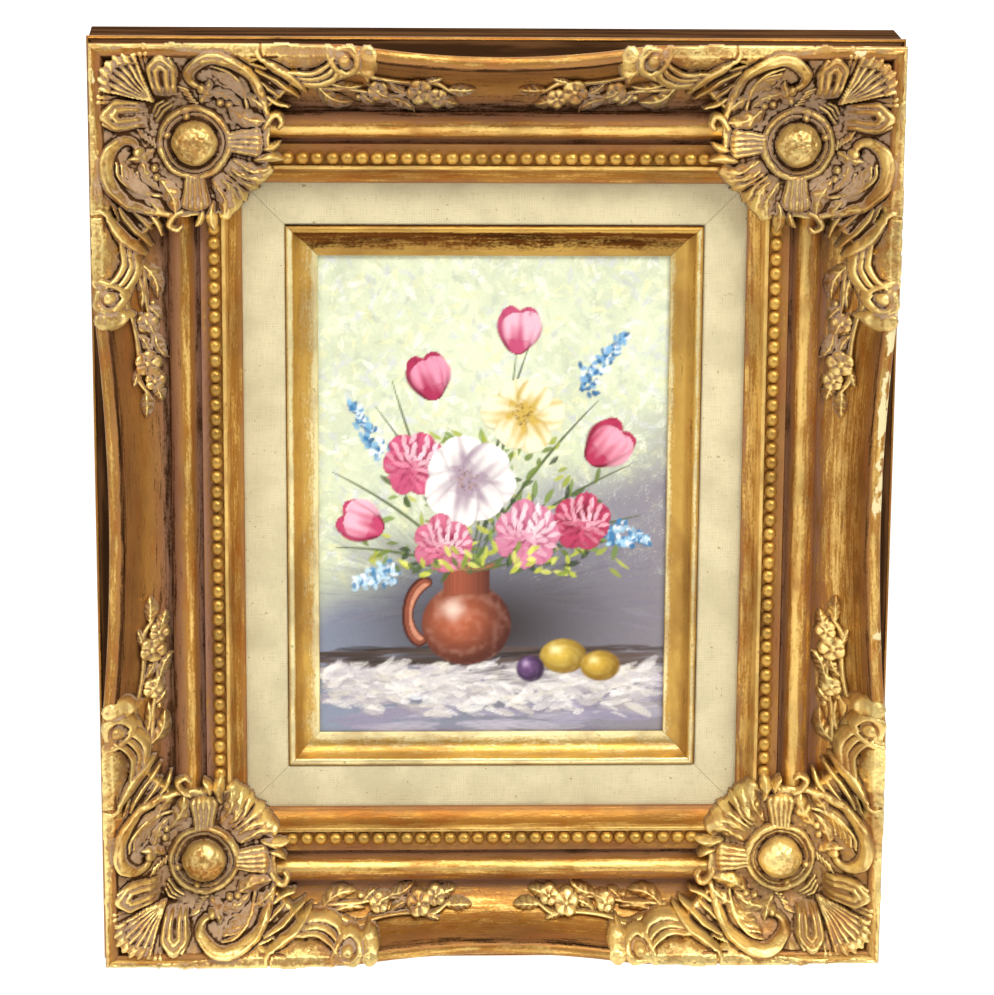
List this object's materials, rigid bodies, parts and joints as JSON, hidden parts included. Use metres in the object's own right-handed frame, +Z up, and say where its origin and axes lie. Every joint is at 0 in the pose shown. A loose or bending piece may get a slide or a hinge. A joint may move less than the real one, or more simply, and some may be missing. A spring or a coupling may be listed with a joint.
{
  "type": "framed oil painting",
  "caption": "Small still-life oil painting in a swept gilt wood frame with scrolled corner ornaments, flower sprays, a linen liner and a gilt slip, hung from its back.",
  "frame": {"origin": "centre of the hanger plate's flat back, where the frame meets the wall", "axes": "+Z up along the frame's height, +X to the right as seen by a viewer, and the picture faces -Y, so +Y points into the wall"},
  "size_m": [0.2728, 0.0551, 0.3204],
  "materials": {
    "moulding": "toned gold leaf over gesso, worn and dusty",
    "ornament": "gilded cast composition, rubbed bright on its high places",
    "linen": "plain woven natural linen, slightly soiled",
    "slip": "bright gold leaf",
    "painting": "thick oil paint on a primed board",
    "backing": "plain grey-brown card",
    "hardware": "dull zinc"
  },
  "bodies": {
    "root": {"moulding_rail_top": "moulding", "moulding_rail_bottom": "moulding", "moulding_rail_left": "moulding", "moulding_rail_right": "moulding", "linen_liner_top": "linen", "linen_liner_bottom": "linen", "linen_liner_left": "linen", "linen_liner_right": "linen", "gilt_slip_top": "slip", "gilt_slip_bottom": "slip", "gilt_slip_left": "slip", "gilt_slip_right": "slip", "corner_ornament_top_left": "ornament", "corner_ornament_top_right": "ornament", "corner_ornament_bottom_left": "ornament", "corner_ornament_bottom_right": "ornament", "flower_spray_top_left_top": "ornament", "flower_spray_top_left_left": "ornament", "flower_spray_top_right_top": "ornament", "flower_spray_top_right_right": "ornament", "flower_spray_bottom_left_bottom": "ornament", "flower_spray_bottom_left_left": "ornament", "flower_spray_bottom_right_bottom": "ornament", "flower_spray_bottom_right_right": "ornament", "painted_board": "painting", "backing_board": "backing", "hanger_plate": "hardware", "hanger_nail_1": "hardware", "hanger_nail_2": "hardware", "steel_point_top_1": "hardware", "steel_point_top_2": "hardware", "steel_point_bottom_1": "hardware", "steel_point_bottom_2": "hardware", "steel_point_left_1": "hardware", "steel_point_left_2": "hardware", "steel_point_right_1": "hardware", "steel_point_right_2": "hardware"}
  },
  "joints": []
}
